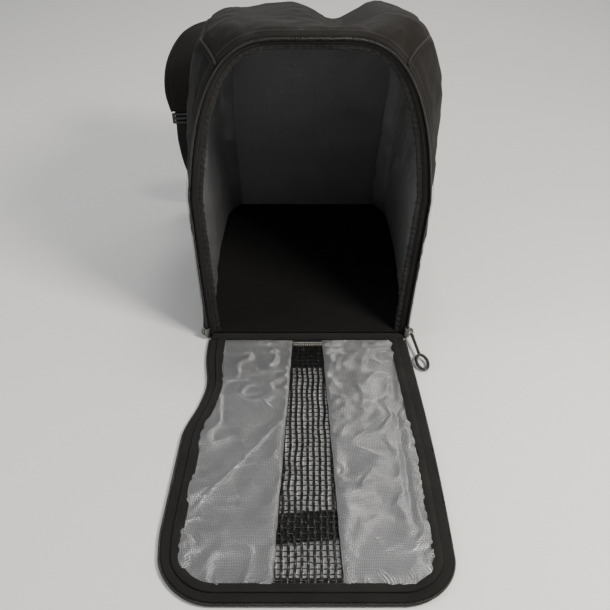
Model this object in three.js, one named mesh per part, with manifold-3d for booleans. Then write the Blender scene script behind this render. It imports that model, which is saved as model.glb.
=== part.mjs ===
// Ski boot bag standing on its base, with its zipped front flap folded down flat in front of it.
// Millimetres, +Z up, +X to the right as seen from the front. The origin is the centre of the base's
// underside, and the bag opens towards -Y.
import * as THREE from 'three';
import { mergeVertices } from 'three/addons/utils/BufferGeometryUtils.js';
import Module from 'manifold-3d';

const wasm = await Module();
wasm.setup();

// ---- driving dimensions ----------------------------------------------------------------------
const DEPTH = 345;                 // front edge of the base to the back panel
const FRONT = -DEPTH / 2;          // Y of the front edge
const BASE_HALF = 127.5;           // half width of the opening at the base
const SPRING_HALF = 140;           // half width where the arch springs
const SPRING_Z = 200;              // height where the straight sides end and the arch starts
const ARCH_TOP = 388;              // height of the opening
const FLAT_HALF = 33;              // half length of the flat at the top of the arch
const ARCH_POWER = 2.9;            // how square the arch's shoulders are at the opening, 2 is an ellipse
const BODY_POWER = 5;              // and behind it
const ARCH_TAPER = 0.13;           // how far the arch leans in towards its top at the opening
const BODY_TAPER = 0.03;           // and behind it
const SQUARE_DEPTH = 50;           // depth over which the section goes from one to the other
const SIDE_BULGE = 8;              // how far the sides swell at mid depth
const TOP_SWELL = 9;               // rise of the top just behind the opening
const TOP_DROP = 33;               // fall of the top at DROP_DEPTH behind the opening
const DROP_DEPTH = 200;
const DROP_POWER = 2.3;
const CORNER_INSET = 20;           // how far the sides round in at the back corners
const CORNER_DEPTH = 50;
const SEAM_ANGLE = 50;             // degrees up the arch where side panel meets top panel
const GAP = 0.4;                   // clearance between touching pieces

const FABRIC = 2.5;                // outer panel, cloth and padding together
const LINING = 1;
const BASE_FABRIC = 3;
const BASE_FOAM = 3;
const RIM_DEPTH = 12;              // the zip tape and binding in front of the panels
const TAPE_FRONT = 2;
const TAPE = 1.2;
const COIL = 3;

const FLAP_LENGTH = 390;           // hinge to far edge
const FLAP_START = 4;              // hinge to the flap's near edge
const FLAP_HALF_NEAR = 121.5;
const FLAP_HALF_FAR = 137;
const FLAP_CORNER = 52;
const HINGE_Y = FRONT - 5.8;
const FLAP_SHELL = 3;
const COIL_BAND = 3;               // plan width of each band along the flap's edge
const TAPE_BAND = 5;
const BINDING_BAND = 9;
const WINDOW_NEAR = 10;
const WINDOW_FAR = 366;
const WINDOW_HALF_NEAR = 18;
const WINDOW_HALF_FAR = 32;
const MESH_MARGIN = 6;
const PATCH_END = 64;
const BAND_START = 281;
const BAND_END = 317;

const SLIDER_START = 11;           // height of the slider's middle when the zip is open
const SLIDER = { along: 14, deep: 7, wide: 6.6, wall: 1.5 };
const PULLER = { loopLong: 29, loopWide: 18, band: 4.3, stemLong: 34, stemWide: 5, thick: 3.6 };

const PAD_WIDTH = 58;
const PAD_THICK = 9;
const WEB_WIDTH = 25;
const WEB_THICK = 2;

// ---- meshes ------------------------------------------------------------------------------------
const bag = new THREE.Group();

function finish(colour, roughness, metalness = 0) {
  return new THREE.MeshStandardMaterial({ color: colour, roughness, metalness });
}

const FINISHES = {
  fabric: finish(0x1c1a18, 0.85),
  lining: finish(0x9b9c9f, 0.45),
  binding: finish(0x2a2826, 0.8),
  tape: finish(0x151413, 0.8),
  coil: finish(0x1a1918, 0.45),
  mesh: finish(0x0d0d0d, 0.3),
  metal: finish(0x3c3a38, 0.35, 0.9),
  rubber: finish(0x171513, 0.5),
  webbing: finish(0x191817, 0.75),
  buckle: finish(0x141414, 0.4),
  foam: finish(0x2b2b2b, 0.95),
};

function add(name, geometry, slot, parent = bag) {
  const mesh = new THREE.Mesh(geometry, FINISHES[slot]);
  mesh.name = name;
  parent.add(mesh);
  return mesh;
}

function signedVolume(positions, index) {
  const [a, b, c] = [new THREE.Vector3(), new THREE.Vector3(), new THREE.Vector3()];
  let sum = 0;
  for (let i = 0; i < index.length; i += 3) {
    a.fromArray(positions, 3 * index[i]);
    b.fromArray(positions, 3 * index[i + 1]);
    c.fromArray(positions, 3 * index[i + 2]);
    sum += a.dot(b.cross(c));
  }
  return sum / 6;
}

// A closed sheet of some thickness: point(i, j, k) gives its corners, i along, j across, k 0 or 1
// for the two faces.
function slab(along, across, point) {
  const positions = [];
  const at = (i, j, k) => (k * (along + 1) + i) * (across + 1) + j;
  for (let k = 0; k < 2; k += 1) {
    for (let i = 0; i <= along; i += 1) {
      for (let j = 0; j <= across; j += 1) positions.push(...point(i, j, k));
    }
  }
  const index = [];
  const quad = (a, b, c, d) => index.push(a, b, c, a, c, d);
  for (let i = 0; i < along; i += 1) {
    for (let j = 0; j < across; j += 1) {
      quad(at(i, j, 0), at(i, j + 1, 0), at(i + 1, j + 1, 0), at(i + 1, j, 0));
      quad(at(i, j, 1), at(i + 1, j, 1), at(i + 1, j + 1, 1), at(i, j + 1, 1));
    }
    quad(at(i, 0, 0), at(i + 1, 0, 0), at(i + 1, 0, 1), at(i, 0, 1));
    quad(at(i, across, 0), at(i, across, 1), at(i + 1, across, 1), at(i + 1, across, 0));
  }
  for (let j = 0; j < across; j += 1) {
    quad(at(0, j, 0), at(0, j, 1), at(0, j + 1, 1), at(0, j + 1, 0));
    quad(at(along, j, 0), at(along, j + 1, 0), at(along, j + 1, 1), at(along, j, 1));
  }
  if (signedVolume(positions, index) < 0) index.reverse();
  const geometry = new THREE.BufferGeometry();
  geometry.setAttribute('position', new THREE.Float32BufferAttribute(positions, 3));
  geometry.setIndex(index);
  return geometry;
}

function plate(points, bottom, top) {
  const shape = new THREE.Shape(points);
  const geometry = new THREE.ExtrudeGeometry(shape, { depth: top - bottom, bevelEnabled: false });
  return geometry.translate(0, 0, bottom);
}

function toSolid(geometry) {
  const bare = geometry.clone();
  bare.deleteAttribute('normal');
  bare.deleteAttribute('uv');
  const merged = mergeVertices(bare, 1e-4);
  return new wasm.Manifold(new wasm.Mesh({
    numProp: 3,
    vertProperties: new Float32Array(merged.attributes.position.array),
    triVerts: new Uint32Array(merged.index.array),
  }));
}

function fromSolid(solid) {
  const mesh = solid.getMesh();
  const geometry = new THREE.BufferGeometry();
  geometry.setAttribute('position', new THREE.BufferAttribute(mesh.vertProperties, 3));
  geometry.setIndex(new THREE.BufferAttribute(mesh.triVerts, 1));
  return geometry;
}

function box(x0, x1, y0, y1, z0, z1) {
  const geometry = new THREE.BoxGeometry(x1 - x0, y1 - y0, z1 - z0);
  return geometry.translate((x0 + x1) / 2, (y0 + y1) / 2, (z0 + z1) / 2);
}

// ---- the body's outline ------------------------------------------------------------------------
// u runs round the outline of the right half: 0 to 1 up the straight side, 1 to 2 round the arch,
// 2 to 3 along the flat top to the middle; 3 to 6 mirrors it down the left side.
function heightAt(t) {
  const swell = TOP_SWELL * (1 - Math.exp(-t / DROP_DEPTH * 10));
  return ARCH_TOP + swell - TOP_DROP * (Math.max(0, t) / DROP_DEPTH) ** DROP_POWER;
}

function widenAt(t) {
  const corner = Math.max(0, (t - (DEPTH - CORNER_DEPTH)) / CORNER_DEPTH);
  return SIDE_BULGE * Math.sin(Math.PI * t / DEPTH) - CORNER_INSET * corner ** 2;
}

// X and Z at v on the right half of the outline, t behind the opening.
function section(v, t) {
  const wide = widenAt(t);
  const base = BASE_HALF + wide;
  const spring = SPRING_HALF + wide;
  if (v <= 1) return [base + (spring - base) * v, SPRING_Z * v];
  const share = Math.min(1, Math.max(0, t / SQUARE_DEPTH));
  const blend = share * share * (3 - 2 * share);
  const power = 2 / (ARCH_POWER + (BODY_POWER - ARCH_POWER) * blend);
  const taper = ARCH_TAPER + (BODY_TAPER - ARCH_TAPER) * blend;
  const angle = Math.min(v - 1, 1) * Math.PI / 2;
  const up = Math.sin(angle) ** power;
  const out = Math.max(0, Math.cos(angle)) ** power;
  const flat = v > 2 ? FLAT_HALF * (3 - v) : FLAT_HALF;
  const x = (flat + (spring - FLAT_HALF) * (v > 2 ? 0 : out)) * (1 - taper * up);
  return [x, SPRING_Z + (heightAt(t) - SPRING_Z) * up];
}

// The point at u on the outline t behind the opening, moved d inwards.
function outline(u, t, d) {
  const side = u > 3 ? -1 : 1;
  const v = u > 3 ? 6 - u : u;
  const step = 0.002;
  const [x, z] = section(v, t);
  const [x0, z0] = section(Math.max(0, v - step), t);
  const [x1, z1] = v + step > 3 ? [-section(6 - v - step, t)[0], z] : section(v + step, t);
  const n = Math.hypot(x1 - x0, z1 - z0);
  return [side * (x - d * (z1 - z0) / n), FRONT + t, z + d * (x1 - x0) / n];
}

function spread(from, to, count) {
  return Array.from({ length: count + 1 }, (_, i) => from + (to - from) * i / count);
}

const SEAM_U = 1 + SEAM_ANGLE / 90;
const SEAM_GAP_U = 0.002;
const FOOT_U = (BASE_FABRIC + GAP) / SPRING_Z;
const STATIONS = [RIM_DEPTH + GAP, 50, 100, 160, 220, 275, 310, 330, DEPTH];

function sideRange(from) {
  return [...spread(from, 1, 4), ...spread(1, SEAM_U - SEAM_GAP_U, 6).slice(1)];
}

function topRange() {
  const half = [...spread(SEAM_U + SEAM_GAP_U, 2, 6), 2.5, 3];
  return [...half, ...half.slice(0, -1).reverse().map((u) => 6 - u)];
}

function wall(us, ts, outer, inner) {
  return slab(us.length - 1, ts.length - 1, (i, j, k) => outline(us[i], ts[j], k ? inner : outer));
}

const LINING_OUT = FABRIC + GAP;
const LINING_IN = LINING_OUT + LINING;
const BASE_STACK = BASE_FABRIC + BASE_FOAM + LINING + 3 * GAP;

function buildWalls() {
  const mirrored = (us) => us.map((u) => 6 - u);
  const outerSide = sideRange(FOOT_U);
  const innerSide = sideRange(BASE_STACK / SPRING_Z);
  const insideStations = [...STATIONS.slice(0, -1), DEPTH - 4];
  add('side_panel_right', wall(outerSide, STATIONS, 0, FABRIC), 'fabric');
  add('side_panel_left', wall(mirrored(outerSide), STATIONS, 0, FABRIC), 'fabric');
  add('top_panel', wall(topRange(), STATIONS, 0, FABRIC), 'fabric');
  add('side_lining_right', wall(innerSide, insideStations, LINING_OUT, LINING_IN), 'lining');
  add('side_lining_left', wall(mirrored(innerSide), insideStations, LINING_OUT, LINING_IN), 'lining');
  add('top_lining', wall(topRange(), insideStations, LINING_OUT, LINING_IN), 'lining');
}

function backOutline(d, foot) {
  const us = [...spread(foot / SPRING_Z, 1, 3), ...spread(1, 2, 9).slice(1), 3];
  const right = us.map((u) => outline(u, DEPTH, d));
  const left = right.slice(0, -1).reverse().map(([x, y, z]) => [-x, y, z]);
  return [...right, ...left].map(([x, , z]) => new THREE.Vector2(x, z));
}

// A plate standing in XZ whose faces are at near and far along Y.
function uprightPlate(points, near, far) {
  return plate(points, -far, -near).rotateX(Math.PI / 2);
}

function buildBack() {
  const back = FRONT + DEPTH;
  add('back_panel', uprightPlate(backOutline(0, BASE_FABRIC + GAP), back + GAP, back + GAP + FABRIC), 'fabric');
  const lining = backOutline(LINING_IN + 1, BASE_STACK);
  add('back_lining', uprightPlate(lining, back - GAP - LINING, back - GAP), 'lining');
}

function baseOutline(d, start, end) {
  const ts = [start, 50, 110, 172, 235, 295, 312, 330, end];
  const right = ts.map((t) => new THREE.Vector2(BASE_HALF + widenAt(Math.min(t, DEPTH)) - d, FRONT + t));
  const left = right.map((p) => new THREE.Vector2(-p.x, p.y)).reverse();
  return [...right, ...left];
}

function buildBase() {
  const foamTop = BASE_FABRIC + GAP + BASE_FOAM;
  const inner = FABRIC + 2;
  add('base_panel', plate(baseOutline(0, 0, DEPTH + GAP + FABRIC), 0, BASE_FABRIC), 'fabric');
  add('base_foam', plate(baseOutline(inner, RIM_DEPTH + 2, DEPTH - 1), BASE_FABRIC + GAP, foamTop), 'foam');
  add('base_lining', plate(baseOutline(inner, RIM_DEPTH + 2, DEPTH - 1), foamTop + GAP, foamTop + GAP + LINING), 'lining');
}

// ---- zip round the opening ---------------------------------------------------------------------
function rimStrip(front, back, outer, inner) {
  const half = [...spread(FOOT_U, 1, 3), ...spread(1, 2, 12).slice(1), 3];
  const us = [...half, ...half.slice(0, -1).reverse().map((u) => 6 - u)];
  return wall(us, [front, back], outer, inner);
}

function buildRim() {
  add('zip_coil_body', rimStrip(-COIL / 2, COIL / 2, -0.5, COIL - 0.5), 'coil');
  add('zip_tape_body', rimStrip(TAPE_FRONT, RIM_DEPTH, 0, TAPE), 'tape');
  add('opening_binding', rimStrip(TAPE_FRONT, RIM_DEPTH, TAPE + GAP, TAPE + GAP + 2.4), 'binding');
  add('hinge_strip', box(-BASE_HALF + 8, BASE_HALF - 8, FRONT - 9, FRONT - GAP, 0, 2), 'tape');
}

// ---- sliders and pullers -------------------------------------------------------------------------
function mirrorX(geometry) {
  const flipped = geometry.clone().scale(-1, 1, 1);
  const index = Array.from(flipped.index.array).reverse();
  flipped.setIndex(index);
  return flipped;
}

const LUG = { reach: 4.2, front: -3.6, back: 0.8, half: 3.2 };
const PIN = { x: SLIDER.wide / 2 + 1.6, y: -1.4, half: 0.45 };

// A channel round the coil with a lug on its outer face, in its own frame with +Z along the coil.
function sliderSolid() {
  const { along, deep, wide, wall: shell } = SLIDER;
  const [face, front] = [wide / 2, -deep / 2 - 1];
  const body = toSolid(box(-face, face, front, deep / 2 - 1.8, -along / 2, along / 2));
  const channel = toSolid(box(shell - face, face - shell, -COIL / 2 - GAP, deep, -along, along));
  const lug = toSolid(box(face - 0.5, face + LUG.reach, LUG.front, LUG.back, -LUG.half, LUG.half));
  const eye = toSolid(box(face, face + 3, PIN.y - 1.1, PIN.y + 1.1, -along, along));
  return fromSolid(body.subtract(channel).add(lug.subtract(eye)));
}

// A moulded puller on a wire link. The link's bar is at the origin along Z, the loop is along +X,
// and the moulding beyond the link is rolled about X and then sloped down about Y.
function pullerSolid(roll, slope) {
  const { loopLong, loopWide, band, stemLong, stemWide, thick } = PULLER;
  const middle = stemLong + loopLong / 2;
  const loop = new THREE.Shape();
  loop.absellipse(middle, 0, loopLong / 2, loopWide / 2, 0, 2 * Math.PI);
  const hole = new THREE.Path();
  hole.absellipse(middle, 0, loopLong / 2 - band, loopWide / 2 - band, 0, 2 * Math.PI);
  loop.holes = [hole];
  const oval = new THREE.ExtrudeGeometry(loop, { depth: thick, bevelEnabled: false, curveSegments: 10 });
  const stem = box(0, stemLong + 2, -stemWide / 2, stemWide / 2, -thick / 2, thick / 2);
  const place = (geometry) => toSolid(geometry.rotateX(roll).rotateY(slope).translate(6, 0, 0));
  const moulding = place(oval.translate(0, 0, -thick / 2)).add(place(stem));
  const frame = toSolid(box(-PIN.half, 7, -PIN.half, PIN.half, -4.6, 4.6));
  const inside = toSolid(box(PIN.half, 6, -2, 2, -3.5, 3.5));
  return fromSolid(moulding.add(frame.subtract(inside)));
}

const SIDE_TILT = Math.atan2(SPRING_HALF - BASE_HALF, SPRING_Z);
const PULLER_SLOPE = THREE.MathUtils.degToRad(7.5);
const PULLER_OUT = THREE.MathUtils.degToRad(10);
const PULLER_BACK = THREE.MathUtils.degToRad(5);

function buildSliders() {
  const [x, , z] = outline(SLIDER_START / SPRING_Z, 0, COIL / 2 - 0.5);
  const slider = sliderSolid().rotateY(SIDE_TILT).translate(x, FRONT, z);
  add('slider_right', slider, 'metal');
  add('slider_left', mirrorX(slider), 'metal');
  const pin = new THREE.Vector3(PIN.x, PIN.y, 0).applyAxisAngle(new THREE.Vector3(0, 1, 0), SIDE_TILT);
  pin.add(new THREE.Vector3(x, FRONT, z));
  const right = pullerSolid(0, PULLER_SLOPE).rotateZ(PULLER_OUT - Math.PI / 2);
  add('puller_right', right.translate(pin.x, pin.y, pin.z), 'rubber');
  const left = pullerSolid(Math.PI / 2, 0).rotateZ(Math.PI / 2 + PULLER_BACK);
  add('puller_left', left.translate(-pin.x, pin.y, pin.z), 'rubber');
}

// ---- flap --------------------------------------------------------------------------------------
// Drawn lying open: s runs from the hinge to the far edge, which is towards -Y.
function flapHalf(s) {
  return FLAP_HALF_NEAR + (FLAP_HALF_FAR - FLAP_HALF_NEAR) * s / FLAP_LENGTH;
}

function windowHalf(s) {
  const share = (s - WINDOW_NEAR) / (WINDOW_FAR - WINDOW_NEAR);
  return WINDOW_HALF_NEAR + (WINDOW_HALF_FAR - WINDOW_HALF_NEAR) * share;
}

function onFloor(x, s) {
  return new THREE.Vector2(x, HINGE_Y - s);
}

// The flap's right edge, inset by o, from the hinge round the far corner to the middle.
function rightEdge(o, start) {
  const cornerS = FLAP_LENGTH - FLAP_CORNER;
  const cornerX = flapHalf(cornerS) - FLAP_CORNER;
  const radius = FLAP_CORNER - o;
  const arc = spread(0, Math.PI / 2, 8).map((a) => [cornerX + radius * Math.cos(a), cornerS + radius * Math.sin(a)]);
  return [[flapHalf(start) - o, start], ...arc];
}

function bothEdges(o, start) {
  const right = rightEdge(o, start);
  const left = right.map(([x, s]) => [-x, s]).reverse();
  return [...right, ...left].map(([x, s]) => onFloor(x, s));
}

function edgeBand(outer, inner, bottom, top) {
  const outside = bothEdges(outer, FLAP_START);
  const inside = bothEdges(inner, FLAP_START).reverse();
  return plate([...outside, ...inside], bottom, top);
}

function windowPatch(from, to, margin) {
  const near = windowHalf(from) + margin;
  const far = windowHalf(to) + margin;
  return [onFloor(near, from), onFloor(far, to), onFloor(-far, to), onFloor(-near, from)];
}

function buildFlap() {
  const meshTop = FLAP_SHELL + GAP + 1;
  const liningBottom = meshTop + GAP;
  const tapeInset = COIL_BAND + GAP;
  const bindingInset = tapeInset + TAPE_BAND + GAP;
  const liningInset = bindingInset + BINDING_BAND + GAP;
  const whole = toSolid(plate(bothEdges(tapeInset, FLAP_START), 0, FLAP_SHELL));
  const window = toSolid(plate(windowPatch(WINDOW_NEAR, WINDOW_FAR, 0), -1, FLAP_SHELL + 1));
  add('flap_outer_panel', fromSolid(whole.subtract(window)), 'fabric');
  add('zip_coil_flap', edgeBand(0, COIL_BAND, 1, 4), 'coil');
  add('zip_tape_flap', edgeBand(tapeInset, tapeInset + TAPE_BAND, FLAP_SHELL + GAP, FLAP_SHELL + GAP + TAPE), 'tape');
  const binding = edgeBand(bindingInset, bindingInset + BINDING_BAND, FLAP_SHELL + GAP, FLAP_SHELL + 3);
  add('flap_binding', binding, 'binding');
  const mesh = windowPatch(WINDOW_NEAR - 4, WINDOW_FAR + 4 - 5, MESH_MARGIN);
  add('flap_mesh_window', plate(mesh, FLAP_SHELL + GAP, meshTop), 'mesh');
  add('mesh_backing_patch', plate(windowPatch(WINDOW_NEAR + GAP, PATCH_END, -GAP), 0, FLAP_SHELL - GAP), 'fabric');
  add('mesh_cross_band', plate(windowPatch(BAND_START, BAND_END, -GAP), 0, FLAP_SHELL - GAP), 'fabric');
  const edge = rightEdge(liningInset, FLAP_START);
  const farS = FLAP_LENGTH - liningInset;
  const right = [[windowHalf(FLAP_START), FLAP_START], ...edge, [windowHalf(farS), farS]];
  const thick = 2.6;
  const rightShape = right.map(([x, s]) => onFloor(x, s));
  const leftShape = right.map(([x, s]) => onFloor(-x, s)).reverse();
  add('flap_lining_right', plate(rightShape, liningBottom, liningBottom + thick), 'lining');
  add('flap_lining_left', plate(leftShape, liningBottom, liningBottom + thick), 'lining');
}

// ---- carrying gear -----------------------------------------------------------------------------
const BACK_FACE = FRONT + DEPTH + GAP + FABRIC;
// Each strap's middle line: distance out from the bag's centre plane, distance behind the back panel,
// height. The left strap bows out beside the bag; the right one is folded over behind it.
const STRAPS = {
  left: {
    side: -1,
    twist: 45,
    pad: [[55, 12, 238], [72, 20, 258], [104, 27, 272], [138, 29, 273], [166, 27, 258], [184, 24, 226],
      [190, 19, 188], [190, 16, 156]],
    web: [[189, 15, 136], [188, 14, 105], [176, 11, 55], [151, 8, 27], [122, 5, 16]],
  },
  right: {
    side: 1,
    twist: 0,
    pad: [[55, 12, 238], [57, 24, 258], [61, 42, 265], [66, 54, 248], [70, 54, 216], [73, 46, 180], [75, 38, 150]],
    web: [[76, 33, 131], [77, 25, 98], [77, 14, 55], [75, 8, 30], [73, 5, 16]],
  },
};
const UPPER_PATCH = { half: 84, low: 216, high: 246, thick: 2.4 };

function strapCurve(points, side) {
  const spots = points.map(([x, y, z]) => new THREE.Vector3(side * x, BACK_FACE + y, z));
  return new THREE.CatmullRomCurve3(spots, false, 'centripetal');
}

// A flat band along a curve. twist(f) is how far, in degrees, its width turns from X towards Y.
function ribbon(curve, steps, width, thick, side, twist, taper = () => 1) {
  return slab(steps, 2, (i, j, k) => {
    const f = i / steps;
    const turn = THREE.MathUtils.degToRad(twist(f));
    const tangent = curve.getTangentAt(f);
    const across = new THREE.Vector3(-side * Math.cos(turn), -Math.sin(turn), 0);
    across.addScaledVector(tangent, -across.dot(tangent)).normalize();
    const normal = new THREE.Vector3().crossVectors(tangent, across);
    const spot = curve.getPointAt(f);
    spot.addScaledVector(across, (j / 2 - 0.5) * width * taper(f));
    spot.addScaledVector(normal, (k - 0.5) * thick);
    return spot.toArray();
  });
}

const twistShape = (f) => Math.sin(Math.PI * Math.min(1, Math.max(0, f - 0.12) * 1.3));
const padTaper = (f) => 1 - 0.45 * Math.max(0, (f - 0.6) / 0.4) ** 2 - 0.45 * Math.max(0, (0.14 - f) / 0.14) ** 1.5;

function buckleSolid() {
  const frame = toSolid(box(-17, 17, -2, 2, -8, 8));
  const slots = [-3.4, 3.4].map((z) => toSolid(box(-13, 13, -4, 4, z - 1.7, z + 1.7)));
  return fromSolid(slots.reduce((solid, slot) => solid.subtract(slot), frame));
}

function buildStrap(name) {
  const { side, twist, pad: padPoints, web: webPoints } = STRAPS[name];
  const pad = strapCurve(padPoints, side);
  const web = strapCurve(webPoints, side);
  const turn = (f) => twist * twistShape(f);
  add(`shoulder_strap_${name}`, ribbon(pad, 18, PAD_WIDTH, PAD_THICK, side, turn, padTaper), 'webbing');
  add(`strap_webbing_${name}`, ribbon(web, 10, WEB_WIDTH, WEB_THICK, side, () => 0), 'webbing');
  const [end, start] = [pad.getPointAt(1), web.getPointAt(0)];
  const middle = end.clone().add(start).multiplyScalar(0.5);
  const lean = Math.atan2(end.x - start.x, end.z - start.z);
  const tip = -Math.atan2(end.y - start.y, end.z - start.z);
  const buckle = buckleSolid().rotateX(tip).rotateY(lean).translate(middle.x, middle.y, middle.z);
  add(`strap_buckle_${name}`, buckle, 'buckle');
  const x = web.getPointAt(1).x - side * 31;
  const tab = box(x - 13, x + 13, BACK_FACE + GAP, BACK_FACE + 3, 6, 32);
  add(`lower_anchor_${name}`, tab, 'webbing');
}

function buildHandle() {
  const { half, low, high, thick } = UPPER_PATCH;
  add('upper_anchor_patch', box(-half, half, BACK_FACE + GAP, BACK_FACE + GAP + thick, low, high), 'webbing');
  const y = BACK_FACE + 14;
  const spots = [[-21, y, 252], [-20, y, 275], [-12, y, 292], [0, y, 298], [12, y, 292], [20, y, 275], [21, y, 252]];
  const curve = new THREE.CatmullRomCurve3(spots.map((p) => new THREE.Vector3(...p)), false, 'centripetal');
  add('haul_handle', slab(20, 1, (i, j, k) => {
    const tangent = curve.getTangentAt(i / 20);
    const spot = curve.getPointAt(i / 20);
    const outward = new THREE.Vector3(-tangent.z, 0, tangent.x);
    return spot.addScaledVector(outward, (k - 0.5) * 3).add(new THREE.Vector3(0, (j - 0.5) * 24, 0)).toArray();
  }), 'webbing');
}

buildWalls();
buildBack();
buildBase();
buildRim();
buildSliders();
buildFlap();
buildStrap('left');
buildStrap('right');
buildHandle();

export default bag;
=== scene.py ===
"""Ski boot bag: the soft goods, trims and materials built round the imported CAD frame.

Shapes are worked out in millimetres, in the frame's own axes, and turned into metres as each mesh is made.
"""
import math

import bmesh
import bpy
import numpy as np
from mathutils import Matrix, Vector, noise


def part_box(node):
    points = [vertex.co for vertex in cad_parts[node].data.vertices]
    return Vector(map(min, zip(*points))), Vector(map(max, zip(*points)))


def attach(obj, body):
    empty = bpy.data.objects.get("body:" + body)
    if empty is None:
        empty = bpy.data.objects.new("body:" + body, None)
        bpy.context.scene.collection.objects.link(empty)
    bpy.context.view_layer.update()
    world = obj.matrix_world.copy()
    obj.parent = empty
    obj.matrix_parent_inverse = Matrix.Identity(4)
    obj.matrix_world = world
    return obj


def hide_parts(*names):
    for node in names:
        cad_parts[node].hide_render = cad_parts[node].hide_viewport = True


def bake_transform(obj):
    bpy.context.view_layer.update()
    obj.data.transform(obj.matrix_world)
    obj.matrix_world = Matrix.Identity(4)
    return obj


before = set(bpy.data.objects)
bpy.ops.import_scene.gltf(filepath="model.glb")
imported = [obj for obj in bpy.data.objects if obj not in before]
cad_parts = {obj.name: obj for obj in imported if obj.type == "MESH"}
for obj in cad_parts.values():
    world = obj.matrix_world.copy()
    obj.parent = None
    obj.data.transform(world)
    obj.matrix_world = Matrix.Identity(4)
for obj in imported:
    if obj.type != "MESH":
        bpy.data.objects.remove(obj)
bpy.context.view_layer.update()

# ---- driving dimensions, as in the CAD ----
DEPTH = 345.0
FRONT = -DEPTH / 2
BASE_HALF, SPRING_HALF, SPRING_Z = 127.5, 140.0, 200.0
ARCH_TOP, FLAT_HALF = 388.0, 33.0
SIDE_BULGE, TOP_SWELL, TOP_DROP = 8.0, 9.0, 33.0
ARCH_POWER, BODY_POWER, ARCH_TAPER, BODY_TAPER, SQUARE_DEPTH = 2.9, 5.0, 0.13, 0.03, 50.0
DROP_DEPTH, DROP_POWER = 200.0, 2.3
CORNER_INSET, CORNER_DEPTH = 20.0, 50.0
SEAM_U = 1 + 50 / 90
RIM_DEPTH = 12.0
BACK_FACE = FRONT + DEPTH + 2.9

FLAP_LENGTH, FLAP_START, FLAP_CORNER = 390.0, 4.0, 52.0
FLAP_HALF_NEAR, FLAP_HALF_FAR = 125.5, 141.0
HINGE_Y = FRONT - 5.8
WINDOW_NEAR, WINDOW_FAR = 10.0, 366.0
WINDOW_HALF_NEAR, WINDOW_HALF_FAR = 18.0, 32.0
COIL_WIDE, TAPE_WIDE, FACING_WIDE = 3.4, 9.0, 9.0
LINING_INSET = COIL_WIDE + TAPE_WIDE + FACING_WIDE - 5.0

BODY = "bag"
FLAP = "flap"
SIDES = ((1, "right"), (-1, "left"))


# ---- mesh helpers ----
def add_object(name, data):
    obj = bpy.data.objects.new(name, data)
    bpy.context.scene.collection.objects.link(obj)
    return obj


def level_square(name, low, high, z):
    """An object of one level face in metres, from the low corner to the high one."""
    mesh = bpy.data.meshes.new(name)
    mesh.from_pydata([(low[0], low[1], z), (high[0], low[1], z), (high[0], high[1], z), (low[0], high[1], z)], [],
                     [(0, 1, 2, 3)])
    return add_object(name, mesh)


def build(name, points, faces, material, body, nodes, coords):
    """One mesh object from points in mm, riding on a body and standing for the given CAD nodes."""
    mesh = bpy.data.meshes.new(name)
    mesh.from_pydata((np.asarray(points, float) * 0.001).tolist(), [], faces)
    mesh.update()
    turned = bmesh.new()
    turned.from_mesh(mesh)
    bmesh.ops.recalc_face_normals(turned, faces=turned.faces)
    turned.to_mesh(mesh)
    turned.free()
    layer = mesh.uv_layers.new(name="weave")
    index = np.empty(len(mesh.loops), dtype=int)
    mesh.loops.foreach_get("vertex_index", index)
    layer.data.foreach_set("uv", np.asarray(coords, float)[index].ravel())
    mesh.polygons.foreach_set("use_smooth", [True] * len(mesh.polygons))
    obj = add_object(name, mesh)
    mesh.materials.append(material)
    if body:
        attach(obj, body)
    if nodes:
        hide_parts(*nodes)
    return obj


def grid_normals(grid):
    """Unit normals of an n by m by 3 grid of points."""
    along = np.gradient(grid, axis=0)
    across = np.gradient(grid, axis=1)
    normal = np.cross(along, across)
    return normal / np.maximum(np.linalg.norm(normal, axis=2, keepdims=True), 1e-9)


def arc_coords(grid):
    """Weave coordinates in mm: arc length along and across the middle of the grid."""
    v, u = np.meshgrid(run_length(grid[grid.shape[0] // 2]), run_length(grid[:, grid.shape[1] // 2]))
    return np.stack([u, v], axis=2)


def sheet_faces(n, m, closed=False, offset=0, turn=1):
    """Quads of an n by m grid, joined round the second way when closed, wound the other way when turn is -1."""
    faces = []
    for i in range(offset, offset + (n - 1) * m, m):
        for j in range(m if closed else m - 1):
            k = (j + 1) % m
            faces.append([i + j, i + k, i + m + k, i + m + j][::turn])
    return faces


def cloth(name, grid, thick, material, body, nodes=(), side=1):
    """A closed sheet: the grid is its shown face and thick is its thickness behind that face."""
    grid = np.asarray(grid, float)
    n, m = grid.shape[:2]
    behind = grid - side * thick * grid_normals(grid)
    points = np.concatenate([grid.reshape(-1, 3), behind.reshape(-1, 3)])
    count = n * m
    faces = sheet_faces(n, m, turn=-side) + sheet_faces(n, m, offset=count, turn=side)
    loop = list(range(m)) + [i * m + m - 1 for i in range(1, n)]
    loop += [(n - 1) * m + j for j in range(m - 2, -1, -1)] + [i * m for i in range(n - 2, 0, -1)]
    faces += [[a, b, b + count, a + count][::side] for a, b in zip(loop, loop[1:] + loop[:1])]
    coords = arc_coords(grid).reshape(-1, 2)
    return build(name, points, faces, material, body, nodes, np.concatenate([coords, coords]))


def dress(node, material):
    """Gives a node of the CAD frame its material."""
    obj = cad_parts[node]
    obj.data.materials.clear()
    obj.data.materials.append(material)
    return obj


def cut_sheet(piece, grid):
    """Works out the area of a sheet's frame grid in square metres, and keeps nothing of it."""
    grid = np.asarray(grid, float) * 0.001
    run = grid[1:, :-1] - grid[:-1, :-1]
    step = grid[:-1, 1:] - grid[:-1, :-1]
    area = np.linalg.norm(np.cross(run, step), axis=-1).sum()


def unit(vectors):
    return vectors / np.linalg.norm(vectors, axis=1, keepdims=True)


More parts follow.
